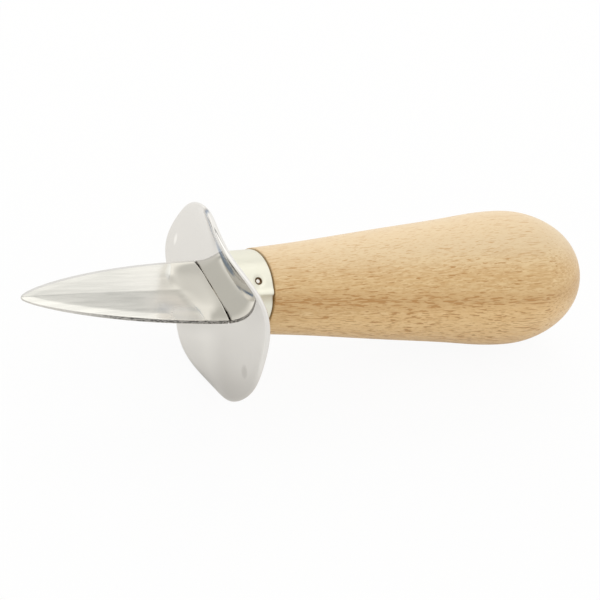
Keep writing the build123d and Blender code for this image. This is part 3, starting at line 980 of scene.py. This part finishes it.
def ferrule_net(rows, columns):
    """Faces of one side of the sheet, with a round hole in each pin's patch, and the holes' points."""

    def in_patch(row, column):
        return 0 <= row - FRONT_ROWS < PATCH_CELLS and column % (PATCH_CELLS + PLAIN_COLUMNS) < PATCH_CELLS

    whole = quads(rows, columns, close_columns=True)
    faces = [face for face in whole if not in_patch(*divmod(face[0], columns))]
    holes = []
    start = rows * columns
    for first in (0, PATCH_CELLS + PLAIN_COLUMNS):
        ring = [(FRONT_ROWS + row) * columns + first + column for row, column in patch_border()]
        for width in RING_WIDTHS_MM:
            smaller = list(range(start, start + len(ring)))
            faces += band(ring, smaller)
            ring = smaller
            start += len(ring)
        holes.append(ring)
    return faces, holes


def make_ferrule():
    """The pale collar, fitted to the guard's back, with a dimple and a hole for each pin."""
    ferrule = bpy.context.scene.knife_ferrule
    pins = (ferrule.pin_angle, ferrule.pin_angle + pi)
    patch = PATCH_HALF / ferrule_radius(pin_distance())
    turns = []
    for pin in pins:
        turns += list(np.linspace(pin - patch, pin + patch, PATCH_CELLS, endpoint=False))
        turns += list(np.linspace(pin + patch, pin + pi - patch, PLAIN_COLUMNS, endpoint=False))
    columns = len(turns)
    rows = ferrule_rows(np.array(turns))
    inset = np.clip((ferrule.end - rows) / ferrule.edge_radius, 0, 1)
    drop = ferrule.edge_radius * (1 - np.sqrt(1 - (1 - inset) ** 2))
    drop[0] = FRONT_DROP
    grid = np.stack([rows, np.broadcast_to(turns, rows.shape), drop], axis=2).reshape(-1, 3)
    x, turn, drop = np.concatenate([grid, *[dimple(pin) for pin in pins]]).T
    outer = ferrule_radius(x) - drop + fold_height(x, turn)
    inner = np.full(len(x), ferrule.front_diameter / 2 - ferrule.wall)
    points = np.concatenate([around(x, outer, turn), around(x, inner, turn)])

    materials = [ferrule_metal(), hole_shade()]
    metal, shaded = range(len(materials))
    faces, holes = ferrule_net(len(rows), columns)
    faces += [tuple(len(x) + point for point in face) for face in faces]
    own_material = [metal] * len(faces)
    ends = [list(range(first, first + columns)) for first in (0, (len(rows) - 1) * columns)]
    # The walls of the pin holes take the painted shade
    for ring, kind in zip(holes + ends, (shaded, shaded, metal, metal)):
        faces += band(ring, [len(x) + point for point in ring])
        own_material += [kind] * len(ring)
    return add_piece("ferrule_collar", points, faces, materials, ["ferrule"], own_material)


def make_handle():
    """The turned handle: bore, spigot, shoulder, straight flare, round belly and a small flat butt."""
    handle = bpy.context.scene.knife_handle
    spigot = handle.spigot_length / MILLIMETRE
    bore = handle.bore_radius / MILLIMETRE
    depth = handle.bore_depth / MILLIMETRE
    stretch = (handle.length / MILLIMETRE / DRAWN_LENGTH, 1)
    inside = [(depth, BORE_TIP_RADIUS), (depth, bore), (BORE_MIDDLE, bore), (SPIGOT_CHAMFER - spigot, bore)]
    front = [(-spigot, bore + SPIGOT_CHAMFER), (-spigot, SPIGOT_FRONT_RADIUS)]
    outside = [(SPIGOT_CHAMFER - spigot, SPIGOT_RADIUS)] + SHOULDER
    side = spline(np.array(FLARE + BELLY + BUTT_ROUNDING) * stretch, SIDE_ROWS)
    profile = np.concatenate([inside, front, outside, side, np.array(BUTT) * stretch]) * MILLIMETRE
    turn = np.linspace(0, tau, HANDLE_COLUMNS, endpoint=False)
    points = [around(np.full(len(turn), wood_start() + x), radius, turn) for x, radius in profile]
    faces = tube(len(profile), HANDLE_COLUMNS)
    return add_piece("handle_wood", np.concatenate(points), faces, [beech()], ["handle"])


class KNIFE_OT_blade(bpy.types.Operator):
    """Build the ground blade and its tang"""

    bl_idname = "knife.blade"
    bl_label = "Blade"

    def execute(self, context):
        make_blade()
        make_tang()
        return {"FINISHED"}


class KNIFE_OT_guard(bpy.types.Operator):
    """Build the bent, polished guard plate"""

    bl_idname = "knife.guard"
    bl_label = "Guard"

    def execute(self, context):
        make_guard()
        return {"FINISHED"}


class KNIFE_OT_ferrule(bpy.types.Operator):
    """Build the ferrule with its dimples"""

    bl_idname = "knife.ferrule"
    bl_label = "Ferrule"

    def execute(self, context):
        make_ferrule()
        return {"FINISHED"}


class KNIFE_OT_fixings(bpy.types.Operator):
    """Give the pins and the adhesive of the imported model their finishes"""

    bl_idname = "knife.fixings"
    bl_label = "Pins and adhesive"

    def execute(self, context):
        for node, material in (("ferrule_pins", pin_steel()), ("tang_resin", cured_resin())):
            mesh = frame["nodes"][node].data
            mesh.materials.clear()
            mesh.materials.append(material)
        return {"FINISHED"}


class KNIFE_OT_handle(bpy.types.Operator):
    """Build the turned beech handle"""

    bl_idname = "knife.handle"
    bl_label = "Handle"

    def execute(self, context):
        make_handle()
        return {"FINISHED"}


class KNIFE_OT_stage(bpy.types.Operator):
    """Lay out the pale table, the soft light and the camera"""

    bl_idname = "knife.stage"
    bl_label = "Stage"

    def execute(self, context):
        make_floor()
        make_light()
        make_camera()
        return {"FINISHED"}


# Stage


def make_floor():
    """A wide pale table under the knife. The camera and polished metal see it a little lighter."""
    stage = bpy.context.scene.knife_stage
    half = stage.floor_size / 2
    corners = [(-half, -half, 0), (half, -half, 0), (half, half, 0), (-half, half, 0)]
    mesh = bpy.data.meshes.new("table_top")
    mesh.from_pydata(corners, [], [(0, 1, 2, 3)])
    floor = bpy.data.objects.new("table_top", mesh)
    bpy.context.scene.collection.objects.link(floor)
    finish = Finish("table_paper")
    rays = finish.node("ShaderNodeLightPath").outputs
    shown = finish.product(rays["Is Camera Ray"], FLOOR_SEEN)
    shown = finish.math("MULTIPLY_ADD", rays["Is Glossy Ray"], FLOOR_MIRRORED, shown)
    glow = finish.node("ShaderNodeEmission").outputs[0]
    mixed = finish.node("ShaderNodeMixShader", {0: shown, 1: finish.shader.outputs[0], 2: glow})
    finish.set(finish.tree.nodes["Material Output"].inputs["Surface"], mixed.outputs[0])
    mesh.materials.append(finish.finish(Base_Color=rgba(stage.paper), Roughness=0.9, Specular_IOR_Level=0.0))


def make_light():
    """An even studio: pale walls with soft grey cards, and a wide lamp behind the knife."""
    scene = bpy.context.scene
    world = bpy.data.worlds.new("studio")
    scene.world = world
    world.use_nodes = True
    nodes = Nodes(world.node_tree)

    def ramp(value, *stops):
        """A grey that follows stops, each a position and a level."""
        made = nodes.node("ShaderNodeValToRGB", {0: value})
        elements = made.color_ramp.elements
        for position, level in stops[1:-1]:
            elements.new(position)
        for element, (position, level) in zip(elements, stops):
            element.color = (level, level, level * WALL_BLUE, 1)
        return made.outputs[0]

    way = nodes.node("ShaderNodeTexCoord").outputs["Generated"]
    ahead, aside, height = nodes.node("ShaderNodeSeparateXYZ", {0: way}).outputs
    walls = ramp(height, (0.0, 0.9), (0.5, 0.92), (0.75, 1.05), (1.0, 1.25))
    dark_card = (0.545, 0.85), (0.57, 0.48), (0.615, 0.48), (0.64, 0.95)
    back = ramp(height, (0.0, 1.0), (0.51, 1.14), *dark_card, (0.665, 1.35), (1.0, 1.3))
    low = ramp(aside, (0.0, 0.85), (0.59, 0.86), (0.62, 0.95), (0.66, 1.35), (1.0, 1.3))
    middle = ramp(aside, (0.0, 1.2), (0.56, 1.25), (0.61, 1.05), (0.67, 0.8), (1.0, 0.85))
    top = (0.73, 0.73, 0.71, 1)
    low_to_middle, middle_to_top = (0.25, 0.36), (0.5, 0.62)
    back_to_front, walls_to_cards = (0.15, -0.15), (0.1, 0.4)
    front = nodes.mix(nodes.zone(height, low_to_middle), low, middle)
    front = nodes.mix(nodes.zone(height, middle_to_top), front, top)
    cards = nodes.mix(nodes.zone(ahead, back_to_front), back, front)
    sky = nodes.mix(nodes.zone(aside, walls_to_cards), walls, cards)
    seen = nodes.node("ShaderNodeLightPath").outputs["Is Camera Ray"]
    nodes.set(world.node_tree.nodes["Background"].inputs["Color"], nodes.mix(seen, sky, (1, 1, 1, 1)))
    lamp = bpy.data.lights.new("soft_box", "AREA")
    lamp.shape = "RECTANGLE"
    lamp.size, lamp.size_y = LAMP_SIZE
    lamp.energy = scene.knife_stage.lamp_power
    box = bpy.data.objects.new("soft_box", lamp)
    scene.collection.objects.link(box)
    box.location = LAMP_PLACE
    box.rotation_euler = (-box.location).to_track_quat("-Z", "Y").to_euler()
    box.visible_glossy = False


def make_camera():
    """The camera of the photograph, turned about its own axis as it was."""
    scene = bpy.context.scene
    stage = scene.knife_stage
    azimuth, elevation, roll = stage.camera_azimuth, stage.camera_elevation, stage.camera_roll
    back = Vector((-sin(azimuth) * cos(elevation), -cos(azimuth) * cos(elevation), sin(elevation)))
    level = Vector((0, 0, 1)).cross(back).normalized()
    upright = back.cross(level)
    right = cos(roll) * level + sin(roll) * upright
    up = cos(roll) * upright - sin(roll) * level
    lens = bpy.data.cameras.new("photo_camera")
    lens.lens = stage.lens
    lens.shift_x = stage.shift_x
    lens.shift_y = stage.shift_y
    lens.clip_start = 0.01
    camera = bpy.data.objects.new("photo_camera", lens)
    scene.collection.objects.link(camera)
    middle = Vector(((butt_end() - scene.knife_blade.length) / 2, 0, 0))
    pose = Matrix((right, up, back)).transposed().to_4x4()
    pose.translation = middle + back * stage.camera_distance
    camera.matrix_world = knife_matrix() @ pose
    scene.camera = camera
    scene.view_settings.view_transform = "Standard"


class KNIFE_PT_panel(bpy.types.Panel):
    """Steps that build the oyster knife"""

    bl_idname = "KNIFE_PT_panel"
    bl_label = "Oyster Knife"
    bl_space_type = "VIEW_3D"
    bl_region_type = "UI"
    bl_category = "Oyster Knife"

    def draw(self, context):
        for operator in STEPS:
            self.layout.operator(operator.bl_idname)
        for name in SETTINGS:
            settings = getattr(context.scene, name)
            box = self.layout.box()
            for key in settings.__annotations__:
                box.prop(settings, key)


STEPS = (KNIFE_OT_stage, KNIFE_OT_blade, KNIFE_OT_guard, KNIFE_OT_ferrule, KNIFE_OT_fixings, KNIFE_OT_handle)
SETTINGS = {
    "knife_blade": BladeSettings,
    "knife_guard": GuardSettings,
    "knife_ferrule": FerruleSettings,
    "knife_fixings": FixingSettings,
    "knife_handle": HandleSettings,
    "knife_stage": StageSettings,
}


def register():
    for name, group in SETTINGS.items():
        bpy.utils.register_class(group)
        setattr(bpy.types.Scene, name, PointerProperty(type=group))
    for item in (*STEPS, KNIFE_PT_panel):
        bpy.utils.register_class(item)


def unregister():
    for item in (KNIFE_PT_panel, *reversed(STEPS)):
        bpy.utils.unregister_class(item)
    for name, group in reversed(SETTINGS.items()):
        delattr(bpy.types.Scene, name)
        bpy.utils.unregister_class(group)


def main():
    register()
    for step in STEPS:
        space, name = step.bl_idname.split(".")
        getattr(getattr(bpy.ops, space), name)()


if __name__ == "__main__":
    main()
